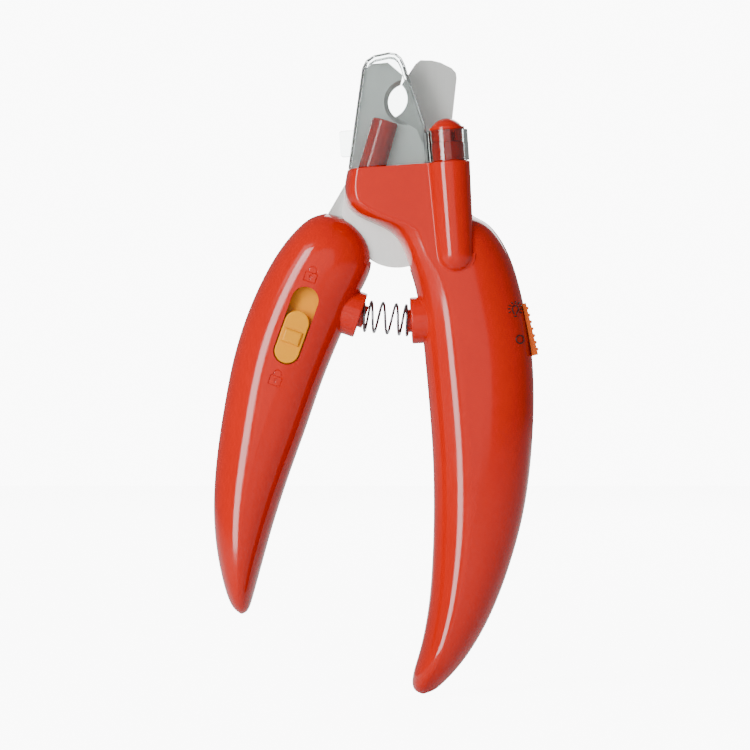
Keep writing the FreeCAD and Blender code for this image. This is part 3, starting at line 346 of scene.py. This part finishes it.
# ---- mesh helpers ----
def new_piece(name, sheet, material):
    """Turn a finished bmesh into an object in the scene."""
    mesh = bpy.data.meshes.new(name)
    sheet.to_mesh(mesh)
    sheet.free()
    if material is not None:
        mesh.materials.append(material)
    mesh.shade_smooth()
    piece = bpy.data.objects.new(name, mesh)
    bpy.context.scene.collection.objects.link(piece)
    return piece


def settled(piece):
    """Apply a piece's modifiers and keep the result as its mesh."""
    view = bpy.context.evaluated_depsgraph_get()
    mesh = bpy.data.meshes.new_from_object(piece.evaluated_get(view))
    piece.modifiers.clear()
    old = piece.data
    piece.data = mesh
    bpy.data.meshes.remove(old)


def tube_curve(name, radius, roundness):
    """A curve that stands for a round wire of the given radius in millimetres."""
    line = bpy.data.curves.new(name, "CURVE")
    line.dimensions = "3D"
    line.bevel_depth = radius * MM
    line.bevel_resolution = roundness
    line.use_fill_caps = True
    return line


def tube_piece(name, line, material):
    """The tube along a curve, as a mesh object."""
    maker = bpy.data.objects.new(name + "_line", line)
    bpy.context.scene.collection.objects.link(maker)
    view = bpy.context.evaluated_depsgraph_get()
    mesh = bpy.data.meshes.new_from_object(maker.evaluated_get(view))
    bpy.data.objects.remove(maker)
    mesh.materials.clear()
    mesh.materials.append(material)
    piece = bpy.data.objects.new(name, mesh)
    bpy.context.scene.collection.objects.link(piece)
    return piece


def spun(name, places, centre, axis, steps, tilt, material):
    """The solid that a profile sweeps in one turn about an axis of a handle's own frame."""
    shape = bmesh.new()
    spots = [shape.verts.new(place) for place in places]
    chain = [shape.edges.new(pair) for pair in zip(spots, spots[1:])]
    bmesh.ops.spin(shape, geom=spots + chain, cent=centre, axis=axis, dvec=(0, 0, 0),
                   angle=math.tau, steps=steps, use_merge=True)
    bmesh.ops.remove_doubles(shape, verts=shape.verts, dist=WELD)
    bmesh.ops.recalc_face_normals(shape, faces=shape.faces)
    bmesh.ops.transform(shape, matrix=stand_matrix(tilt), verts=shape.verts)
    piece = new_piece(name, shape, material)
    piece.data.set_sharp_from_angle(angle=CREASE)
    return piece


def lathe(name, profile, centre, tilt, material):
    """A solid turned about a line across the handle's thickness; the profile is (radius, z)."""
    places = [(centre[0] + r, centre[1], z) for r, z in profile]
    return spun(name, places, (centre[0], centre[1], 0), (0, 0, 1), 72, tilt, material)


def cut_away(piece, cutters):
    """Cut other pieces out of this one and throw them away."""
    for cutter in cutters:
        tool = piece.modifiers.new("cut", "BOOLEAN")
        tool.object = cutter
        tool.operation = "DIFFERENCE"
        tool.solver = "EXACT"
        settled(piece)
        bpy.data.objects.remove(cutter)


def straight_prism(points, z_low, z_high, tilt):
    """A straight-sided block over an outline, placed in the row frame."""
    block = bmesh.new()
    face = block.faces.new([block.verts.new((u, v, z_low)) for u, v in points])
    raised = bmesh.ops.extrude_face_region(block, geom=[face])["geom"]
    corners = [item for item in raised if isinstance(item, bmesh.types.BMVert)]
    bmesh.ops.translate(block, verts=corners, vec=(0, 0, z_high - z_low))
    bmesh.ops.recalc_face_normals(block, faces=block.faces)
    bmesh.ops.transform(block, matrix=stand_matrix(tilt), verts=block.verts)
    return new_piece("cutter", block, None)


def circle_points(radius, centre, count=48, start=0.0, sweep=360.0):
    """Points round a circle or an arc, anticlockwise from the start angle."""
    step = sweep / count
    angles = [math.radians(start + step * k) for k in range(count)]
    return [(centre[0] + radius * math.cos(a), centre[1] + radius * math.sin(a)) for a in angles]


def long_hole_points(radius, length):
    """A slot's outline: two half rounds and two straight sides, along v."""
    lower = circle_points(radius, (0, 0), 24, 180, 180)
    upper = circle_points(radius, (0, length), 24, 0, 180)
    return lower + [(radius, 0)] + upper + [(-radius, length)]


def round_cutter(radius, centre, z_low, z_high, tilt, count):
    """A round bar across the thickness."""
    return straight_prism(circle_points(radius, centre, count), z_low, z_high, tilt)


def moved(points, foot, slant):
    """Points turned by a slant in degrees and carried to a foot."""
    turn = math.radians(slant)
    cos, sin = math.cos(turn), math.sin(turn)
    return [(foot[0] + u * cos - v * sin, foot[1] + u * sin + v * cos) for u, v in points]


# ---- handle skins ----
def value_at(rows, v, key, column):
    """A smooth value from rows of numbers, keyed by v and kept between its neighbours."""
    rows = sorted(rows, key=lambda row: row[key])
    keys = [row[key] for row in rows]
    values = [row[column] for row in rows]
    if v <= keys[0]:
        return values[0]
    if v >= keys[-1]:
        return values[-1]
    steps = [(values[i + 1] - values[i]) / (keys[i + 1] - keys[i]) for i in range(len(keys) - 1)]
    slopes = [steps[0]]
    for before, after in zip(steps, steps[1:]):
        slopes.append(0.0 if before * after <= 0 else 2.0 * before * after / (before + after))
    slopes.append(steps[-1])
    i = max(k for k in range(len(keys) - 1) if keys[k] <= v)
    span = keys[i + 1] - keys[i]
    t = (v - keys[i]) / span
    return (values[i] * (1 + 2 * t) * (1 - t) ** 2 + slopes[i] * span * t * (1 - t) ** 2
            + values[i + 1] * t * t * (3 - 2 * t) + slopes[i + 1] * span * t * t * (t - 1))


def nose(distance):
    """The share of full depth at a distance from a handle's rounded end."""
    if distance >= NOSE_REACH:
        return 1.0
    return math.sqrt(max(0.0, 1.0 - (1.0 - distance / NOSE_REACH) ** 2))


def station(handle, v, side, inset=0.0):
    """The edges, roundings and depth of a handle's cross-section at v, shrunk by inset."""
    low = value_at(handle["low"], v, 1, 0) + inset
    high = value_at(handle["high"], v, 1, 0) - inset
    depth = (FRONT_DEPTH if side > 0 else BACK_DEPTH) * nose(v - handle["stations"][-1] + END_SLACK)
    if not handle["flat_top"]:
        depth *= nose(handle["stations"][0] - v + END_SLACK)
    round_low = max(1.0, value_at(handle["rounding"], v, 0, 1) - inset)
    round_high = max(1.0, value_at(handle["rounding"], v, 0, 2) - inset)
    scale = min(1.0, ROUNDED_SHARE * (high - low) / (round_low + round_high))
    return low, high, round_low * scale, round_high * scale, depth - inset


def skin_height(handle, u, v):
    """The front face's z at (u, v)."""
    low, high, round_low, round_high, depth = station(handle, v, 1)
    inward = min((u - low) / round_low, (high - u) / round_high, 1.0)
    return PARTING + depth * math.sqrt(max(0.0, 1.0 - (1.0 - inward) ** 2))


def arch(handle, v, side, inset=0.0):
    """One row of control points: up one edge, over the face and down the other edge."""
    low, high, round_low, round_high, depth = station(handle, v, side, inset)
    angles = [math.pi / 2 * k / ARCH_STEPS for k in range(ARCH_STEPS + 1)]
    rising = [(low + round_low * (1 - math.cos(a)), math.sin(a)) for a in angles]
    falling = [(high - round_high * (1 - math.cos(a)), math.sin(a)) for a in reversed(angles)]
    start, end = rising[-1][0], falling[0][0]
    flat = [(start + (end - start) * share, 1.0) for share in (0.25, 0.5, 0.75)]
    foot = PARTING + side * (PARTING_GAP - inset)
    return [stood(u, v, foot + side * (depth + inset) * height, handle["tilt"])
            for u, height in rising + flat + falling]


def grow_row(sheet, row, edges, places, closed=False):
    """Extrude a chain of edges, or a closed ring of them, to the next row of places."""
    order = {tuple(vert.co): index for index, vert in enumerate(row)}
    grown = bmesh.ops.extrude_edge_only(sheet, edges=edges)["geom"]
    fresh = [item for item in grown if isinstance(item, bmesh.types.BMVert)]
    fresh.sort(key=lambda vert: order[tuple(vert.co)])
    for vert, place in zip(fresh, places):
        vert.co = place
    partners = fresh[1:] + fresh[:1] if closed else fresh[1:]
    return fresh, [sheet.edges.get(pair) for pair in zip(fresh, partners)]


def rim_of(sheet):
    """The open edge of a sheet as one loop of vertices, in order."""
    rim = [edge for edge in sheet.edges if edge.is_boundary]
    first = rim[0].verts[0]
    loop = [first]
    edge = rim[0]
    vert = edge.other_vert(first)
    while vert is not first:
        loop.append(vert)
        edge = next(other for other in vert.link_edges if other.is_boundary and other is not edge)
        vert = edge.other_vert(vert)
    return loop


def close_half(sheet, foot_y):
    """Close the two ends and the parting face of a smoothed half with flat faces."""
    loop = rim_of(sheet)
    on_foot = [abs(vert.co.y - foot_y) < 1e-7 for vert in loop]
    turn = next(k for k in range(len(loop)) if on_foot[k - 1] and not on_foot[k])
    loop = loop[turn:] + loop[:turn]
    on_foot = on_foot[turn:] + on_foot[:turn]
    base = [vert for vert, flat in zip(loop, on_foot) if flat]
    ends = []
    arc = [loop[-1]]
    for vert, flat in zip(loop, on_foot):
        arc.append(vert)
        if flat:
            if len(arc) > 2:
                ends.append(arc)
            arc = [vert]
    for verts in ends + [base]:
        sheet.faces.new(verts)
    bmesh.ops.recalc_face_normals(sheet, faces=sheet.faces)


def half_solid(name, handle, side, inset, levels):
    """One half of a handle as a solid, or its hollow when inset by the wall."""
    sheet = bmesh.new()
    top, bottom = handle["stations"][0], handle["stations"][-1]
    squeeze = (top - bottom - 2 * inset) / (top - bottom)
    rows = []
    for mark in handle["stations"]:
        v = top - inset + (mark - top) * squeeze
        low, high, _, _, depth = station(handle, v, side, inset)
        if high - low > LEAST_SECTION and depth > LEAST_SECTION:
            rows.append(arch(handle, v, side, inset))
    row = [sheet.verts.new(place) for place in rows[0]]
    edges = [sheet.edges.new(pair) for pair in zip(row, row[1:])]
    for places in rows[1:]:
        row, edges = grow_row(sheet, row, edges, places)
    foot_y = rows[0][0].y
    piece = new_piece(name, sheet, red_abs)
    smooth = piece.modifiers.new("smooth", "SUBSURF")
    smooth.levels = smooth.render_levels = levels
    smooth.boundary_smooth = "PRESERVE_CORNERS"
    settled(piece)
    closed = bmesh.new()
    closed.from_mesh(piece.data)
    close_half(closed, foot_y)
    closed.to_mesh(piece.data)
    closed.free()
    return piece


def handle_skin(name, handle, side):
    """One moulded half of a handle with a hollow behind its wall."""
    piece = half_solid(name, handle, side, 0.0, 3)
    cut_away(piece, [half_solid(name + "_hollow", handle, side, WALL, 2)])
    return piece


def finish_skin(piece, body, node):
    """Keep the faces smooth with sharp edges past the crease angle, and let the skin stand for its shell."""
    piece.data.shade_smooth()
    piece.data.set_sharp_from_angle(angle=CREASE)
    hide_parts(node)
    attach(piece, body)


def switch_slot():
    """The slot that the thumb slider's neck runs in."""
    neck = moved([(-8, 3.5), (5, 3.5), (5, 12.8), (-8, 12.8)], SWITCH_FOOT, SWITCH_SLANT)
    return straight_prism(neck, PARTING - 2.0, PARTING + 2.0, HEAD_TILT)


# ---- raised and sunk markings ----
def stroke_tubes(name, strokes, radius, tilt, material):
    """Rounded strokes that follow a handle's face; each stroke is a list of (u, v, z)."""
    line = tube_curve(name, radius, 2)
    for stroke in strokes:
        spline = line.splines.new("POLY")
        spline.use_cyclic_u = stroke[0] == stroke[-1]
        if spline.use_cyclic_u:
            stroke = stroke[:-1]
        spline.points.add(len(stroke) - 1)
        for point, (u, v, z) in zip(spline.points, stroke):
            point.co = (*stood(u, v, z, tilt), 1.0)
    piece = tube_piece(name, line, material)
    tidy = bmesh.new()
    tidy.from_mesh(piece.data)
    bmesh.ops.remove_doubles(tidy, verts=tidy.verts, dist=WELD * MM)
    bmesh.ops.recalc_face_normals(tidy, faces=tidy.faces)
    tidy.to_mesh(piece.data)
    tidy.free()
    return piece


def on_face(handle, points, sink):
    """Points of a stroke laid on a handle's front face, sunk a little."""
    return [(u, v, skin_height(handle, u, v) - sink) for u, v in points]


def padlock_strokes(centre, slant, is_open):
    """The outline of a padlock: body, keyhole and a shackle, shut or lifted on one side."""
    body = [(-1.5, -1.9), (-1.5, 0.4), (1.5, 0.4), (1.5, -1.9), (-1.5, -1.9)]
    right_foot = 0.9 if is_open else 0.5
    bow = circle_points(1.0, (0, 1.0), 10, 0, 180)
    shackle = [(-1.0, 0.5)] + bow[::-1] + [(1.0, right_foot)]
    keyhole = circle_points(0.3, (0, -0.5), 10) + [(0.3, -0.5)]
    bit = [(0, -0.7), (0, -1.3)]
    return [moved(stroke, centre, slant) for stroke in (body, shackle, keyhole, bit)]


def lamp_strokes(centre, slant):
    """A lamp sign: bulb, base lines and short rays around the upper side."""
    bulb = [(-0.35, -1.3)] + circle_points(0.85, (0, 0), 14, -60, 300)[::-1] + [(0.35, -1.3)]
    base = [(-0.35, -1.8), (0.35, -1.8)]
    strokes = [bulb, base]
    for angle in range(-30, 211, 30):
        strokes.append(moved([(1.35, 0.0), (1.95, 0.0)], (0.0, 0.0), angle))
    return [moved(stroke, centre, slant) for stroke in strokes]


def off_ring_strokes(centre):
    """A plain ring, the sign for off."""
    ring = circle_points(1.0, centre, 20)
    return [ring + ring[:1]]


# ---- front and rear of the right handle ----
def barrel_solid():
    """The round barrel beside the head and the post on top of it, turned about the hinge axis."""
    quarter = [math.pi / 2 * k / 12 for k in range(1, 13)]
    profile = [(0.0, BARREL_BOTTOM_V - BARREL_LOW_RADIUS)]
    profile += [(BARREL_LOW_RADIUS * math.sin(a), BARREL_BOTTOM_V - BARREL_LOW_RADIUS * math.cos(a))
                for a in quarter]
    profile += [(BARREL_TOP_RADIUS - 0.02, SEAM_V - 0.2), (BARREL_TOP_RADIUS - 0.2, SEAM_V),
                (POST_RADIUS, SEAM_V), (POST_RADIUS, POST_TOP_V - 0.25), (POST_RADIUS - 0.25, POST_TOP_V),
                (0.0, POST_TOP_V)]
    places = [(HINGE_U + r, v, HINGE_Z) for r, v in profile]
    return spun("hinge_barrel", places, (HINGE_U, 0, HINGE_Z), (0, 1, 0), 96, HEAD_TILT, red_abs)


def fillet_section(v):
    """The blend's cross-section at v, as (distance from the hinge line, z)."""
    face_z = PARTING + FRONT_DEPTH
    rise = face_z - HINGE_Z
    share = (v - BARREL_BOTTOM_V) / (SEAM_V - BARREL_BOTTOM_V)
    radius = BARREL_LOW_RADIUS + (BARREL_TOP_RADIUS - BARREL_LOW_RADIUS) * share
    reach = math.sqrt((radius + BLEND_RADIUS) ** 2 - (rise + BLEND_RADIUS) ** 2)
    touch = radius / (radius + BLEND_RADIUS)
    low_angle = -math.pi / 2
    high_angle = math.atan2(-(rise + BLEND_RADIUS), -reach)
    angles = [low_angle + (high_angle - low_angle) * k / 6 for k in range(7)]
    ring = [(reach + BLEND_RADIUS * math.cos(a), face_z + BLEND_RADIUS * (1 + math.sin(a))) for a in angles]
    return ring + [(reach * touch - 0.6, face_z - BLEND_FOOT), (reach, face_z - BLEND_FOOT)]


def barrel_fillet():
    """The concave blend between the barrel and the face beside it, swept down and round the end."""
    path = [(SEAM_V + (BARREL_BOTTOM_V - SEAM_V) * k / 12, 180.0) for k in range(13)]
    path += [(BARREL_BOTTOM_V, 180.0 + 180.0 * k / 16) for k in range(1, 17)]
    rings = []
    for v, heading in path:
        turn = math.radians(heading)
        rings.append([stood(HINGE_U + out * math.cos(turn), v + out * math.sin(turn), z, HEAD_TILT)
                      for out, z in fillet_section(v)])
    strip = bmesh.new()
    first = row = [strip.verts.new(place) for place in rings[0]]
    edges = [strip.edges.new(pair) for pair in zip(row, row[1:] + row[:1])]
    for places in rings[1:]:
        row, edges = grow_row(strip, row, edges, places, closed=True)
    strip.faces.new(first)
    strip.faces.new(row)
    bmesh.ops.recalc_face_normals(strip, faces=strip.faces)
    return new_piece("barrel_fillet", strip, red_abs)


def make_right_front():
    blade_room = straight_prism(FRONT_BLADE_ROOM, PARTING - 2, BLADE_FRONT + 0.05, HEAD_TILT)
    front = handle_skin("right_front_skin", RIGHT, 1)
    signs = lamp_strokes(LAMP_SIGN, LAMP_SLANT) + off_ring_strokes(OFF_SIGN)
    marks = [on_face(RIGHT, points, 0.05) for points in signs]
    grooves = stroke_tubes("marking_grooves", marks, SIGN_GROOVE_RADIUS, HEAD_TILT, red_abs)
    cut_away(front, [blade_room, switch_slot(), grooves])
    finish_skin(front, "right_handle", "right_front_shell")
    inked = [[(u, v, z - 0.08) for u, v, z in mark] for mark in marks]
    ink = stroke_tubes("light_switch_markings", inked, INK_RADIUS, HEAD_TILT, mark_ink)
    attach(ink, "right_handle")


def make_barrel():
    barrel = barrel_solid()
    below = SEAM_V - 0.3
    room = [(0, -20), (30, -20), (30, below), (0, below)]
    cut_away(barrel, [straight_prism(room, 0, PARTING + 2.2, HEAD_TILT)])
    barrel.data.set_sharp_from_angle(angle=CREASE)
    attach(barrel, "right_handle")
    fillet = barrel_fillet()
    fillet.data.set_sharp_from_angle(angle=FILLET_CREASE)
    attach(fillet, "right_handle")


def make_right_rear():
    back = handle_skin("right_rear_skin", RIGHT, -1)
    deep = BLADE_BACK - SWEEP_GAP
    sweep = straight_prism(BACK_BLADE_ROOM, deep, PARTING + 1, HEAD_TILT)
    hub = round_cutter(HUB_RADIUS + HUB_GAP, (0, 0), deep - 0.01, PARTING + 1, HEAD_TILT, 72)
    door = round_cutter(DOOR_RADIUS + 0.3, BATTERY, -2, 4.5, HEAD_TILT, 48)
    recesses = [round_cutter(SCREW_RECESS, centre, -2, 6, HEAD_TILT, 32) for centre in RIGHT_SCREWS]
    cut_away(back, [sweep, hub, door, switch_slot()] + recesses)
    finish_skin(back, "right_handle", "right_rear_shell")
    inner, outer = DOOR_RADIUS + 0.1, DOOR_RADIUS + RING_WIDTH
    ring = lathe("battery_boss", [(inner, 4.0), (inner, 0.15), (DOOR_RADIUS + 0.25, 0.0),
                                  (DOOR_RADIUS + 1.3, 0.0), (DOOR_RADIUS + 1.6, 0.12), (outer, 0.4),
                                  (outer, 4.0), (inner, 4.0)], BATTERY, HEAD_TILT, red_abs)
    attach(ring, "right_handle")
    edge = PIVOT_BOSS_RADIUS
    pad = lathe("pivot_boss", [(0.0, 1.6), (edge, 1.6), (edge, 0.25), (edge - 0.08, 0.07),
                               (edge - 0.25, 0.0), (0.0, 0.0)], (0, 0), HEAD_TILT, red_abs)
    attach(pad, "right_handle")


# ---- left handle ----
def left_hub_room():
    """The round room that the blades' hubs turn in."""
    return round_cutter(HUB_RADIUS + HUB_GAP, (0, 0), BLADE_BACK - 0.1, BLADE_FRONT + 0.2, LEFT_TILT, 96)


def make_left_front():
    front = handle_skin("left_front_skin", LEFT, 1)
    outline = moved(long_hole_points(SLOT_RADIUS, SLOT_LENGTH), SLOT_FOOT, SLOT_SLANT)
    slot = straight_prism(outline, 13, 24, LEFT_TILT)
    cut_away(front, [slot, left_hub_room()])
    marks = padlock_strokes(CLOSED_SIGN, SLOT_SLANT, False) + padlock_strokes(OPEN_SIGN, SLOT_SLANT, True)
    # Strokes that touch one another are cut one after the other.
    for group in (marks[0::2], marks[1::2]):
        lines = [on_face(LEFT, mark, 0.0) for mark in group]
        cut_away(front, [stroke_tubes("padlock_grooves", lines, GROOVE_RADIUS, LEFT_TILT, red_abs)])
    finish_skin(front, "left_handle", "left_front_shell")


def make_left_rear():
    back = handle_skin("left_rear_skin", LEFT, -1)
    shank = straight_prism(SHANK_ROOM, BLADE_BACK - 0.05, PARTING + 0.5, LEFT_TILT)
    recesses = [round_cutter(SCREW_RECESS, centre, -2, 6, LEFT_TILT, 32) for centre in LEFT_SCREWS]
    cut_away(back, [left_hub_room(), shank] + recesses)
    finish_skin(back, "left_handle", "left_rear_shell")


# ---- return spring ----
def make_spring():
    """An open compression coil of bright wire, bunched at both ends, between the two seats."""
    start = stood(LEFT_SEAT_U, SPRING_SEAT_V, PARTING, LEFT_TILT)
    end = stood(RIGHT_SEAT_U, SPRING_SEAT_V, PARTING, HEAD_TILT)
    run = (end - start).normalized()
    side = run.cross(Vector((0, 1, 0))).normalized()
    front = run.cross(side).normalized()
    length = (end - start).length
    clear = (SPRING_WIRE + SPRING_END_GAP) * MM
    steps = int(SPRING_TURNS * SPRING_POINTS_PER_TURN)
    wire = tube_curve("return_spring_wire", SPRING_WIRE, 4)
    spline = wire.splines.new("NURBS")
    spline.points.add(steps)
    spline.order_u = 4
    spline.use_endpoint_u = True
    for k, point in enumerate(spline.points):
        share = k / steps
        turn = math.tau * SPRING_TURNS * share
        eased = share - SPRING_BUNCHING * math.sin(math.tau * share)
        along = clear + (length - 2 * clear) * eased
        spot = start + run * along + (side * math.cos(turn) + front * math.sin(turn)) * SPRING_RADIUS * MM
        point.co = (*spot, 1.0)
    coil = tube_piece("return_spring_coil", wire, spring_steel)
    coil.data.shade_smooth()
    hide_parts("return_spring")
    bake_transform(coil)


make_right_front()
make_barrel()
make_right_rear()
make_left_front()
make_left_rear()
make_spring()

for name in ("nail_guard", "guard_cap", "led_tube", "led_lamp", "spring_seat_right", "spring_seat_left",
             "lock_button", "light_switch_slider", "fixed_blade", "moving_blade", "battery_door"):
    nodes[name].data.set_sharp_from_angle(angle=NODE_CREASE)


# ---- floor, lights and camera ----
def seen_directly(tree):
    """1 for what is looked at, straight or through clear plastic, and 0 for light and reflections."""
    path = add_node(tree, "ShaderNodeLightPath")
    sight = add_node(tree, "ShaderNodeMath", {"operation": "MAXIMUM"},
                     {0: (path, "Is Camera Ray"), 1: (path, "Is Transmission Ray")})
    bounces = add_node(tree, "ShaderNodeMath", {"operation": "ADD"},
                       {0: (path, "Diffuse Depth"), 1: (path, "Glossy Depth")})
    unbroken = add_node(tree, "ShaderNodeMath", {"operation": "LESS_THAN", 1: 0.5}, {0: (bounces, "Value")})
    return add_node(tree, "ShaderNodeMath", {"operation": "MULTIPLY"},
                    {0: (sight, "Value"), 1: (unbroken, "Value")})


def white_paper():
    """Matt white paper under the clipper, bright enough to read as white."""
    material, tree, shader, place = new_material("white_paper")
    fibre = noise(tree, place, 6, 3.0)
    glow = add_node(tree, "ShaderNodeMath", {"operation": "MULTIPLY", 1: FLOOR_GLOW},
                    {0: (seen_directly(tree), "Value")})
    dress(tree, shader, mixed(tree, "F4F4F4", "EEEEEE", fibre))
    tree.links.new(glow.outputs["Value"], shader.inputs["Emission Strength"])
    shader.inputs["Roughness"].default_value = 0.9
    shader.inputs["Emission Color"].default_value = (1, 1, 1, 1)
    return material


def add_floor():
    """A sheet of paper just under the clipper's lowest point."""
    floor = bmesh.new()
    bmesh.ops.create_grid(floor, x_segments=1, y_segments=1, size=1.6)
    lowest = cad_box[0][2] - 0.5 * MM
    bmesh.ops.translate(floor, verts=floor.verts, vec=(0, 0, lowest))
    piece = new_piece("floor", floor, white_paper())


def add_world():
    """A light tent: white to look at, and an even dim light on the clipper."""
    world = bpy.data.worlds.new("light_tent")
    world.use_nodes = True
    tree = world.node_tree
    glow = add_node(tree, "ShaderNodeMapRange", {"To Min": TENT_LIGHT, "To Max": TENT_WHITE},
                    {"Value": (seen_directly(tree), "Value")})
    tree.nodes["Background"].inputs["Color"].default_value = (1, 1, 1, 1)
    tree.links.new(glow.outputs["Result"], tree.nodes["Background"].inputs["Strength"])
    bpy.context.scene.world = world


def soft_box(name, place, size, watts):
    """A soft box of the given width and height, turned to face the clipper."""
    lamp = bpy.data.lights.new(name, "AREA")
    lamp.shape = "RECTANGLE"
    lamp.size, lamp.size_y = size
    lamp.energy = watts
    holder = bpy.data.objects.new(name, lamp)
    holder.location = place
    holder.rotation_euler = (Vector(LIT_POINT) - Vector(place)).to_track_quat("-Z", "Y").to_euler()
    bpy.context.scene.collection.objects.link(holder)


def add_camera():
    """A camera square to the clipper's front, wide enough to see all of it."""
    view = bpy.data.cameras.new("camera")
    view.sensor_width = SENSOR_WIDTH
    view.lens = view.sensor_width * CAMERA_DISTANCE / (VIEW_WIDTH * MM)
    view.clip_start = 0.01
    holder = bpy.data.objects.new("camera", view)
    target = Vector((VIEW_CENTRE[0] * MM, -PARTING * MM, VIEW_CENTRE[1] * MM))
    holder.location = target + Vector((0, -CAMERA_DISTANCE, 0))
    holder.rotation_euler = (math.pi / 2, 0, 0)
    bpy.context.scene.collection.objects.link(holder)
    bpy.context.scene.camera = holder


add_floor()
add_world()
for box in SOFT_BOXES:
    soft_box(*box)
add_camera()
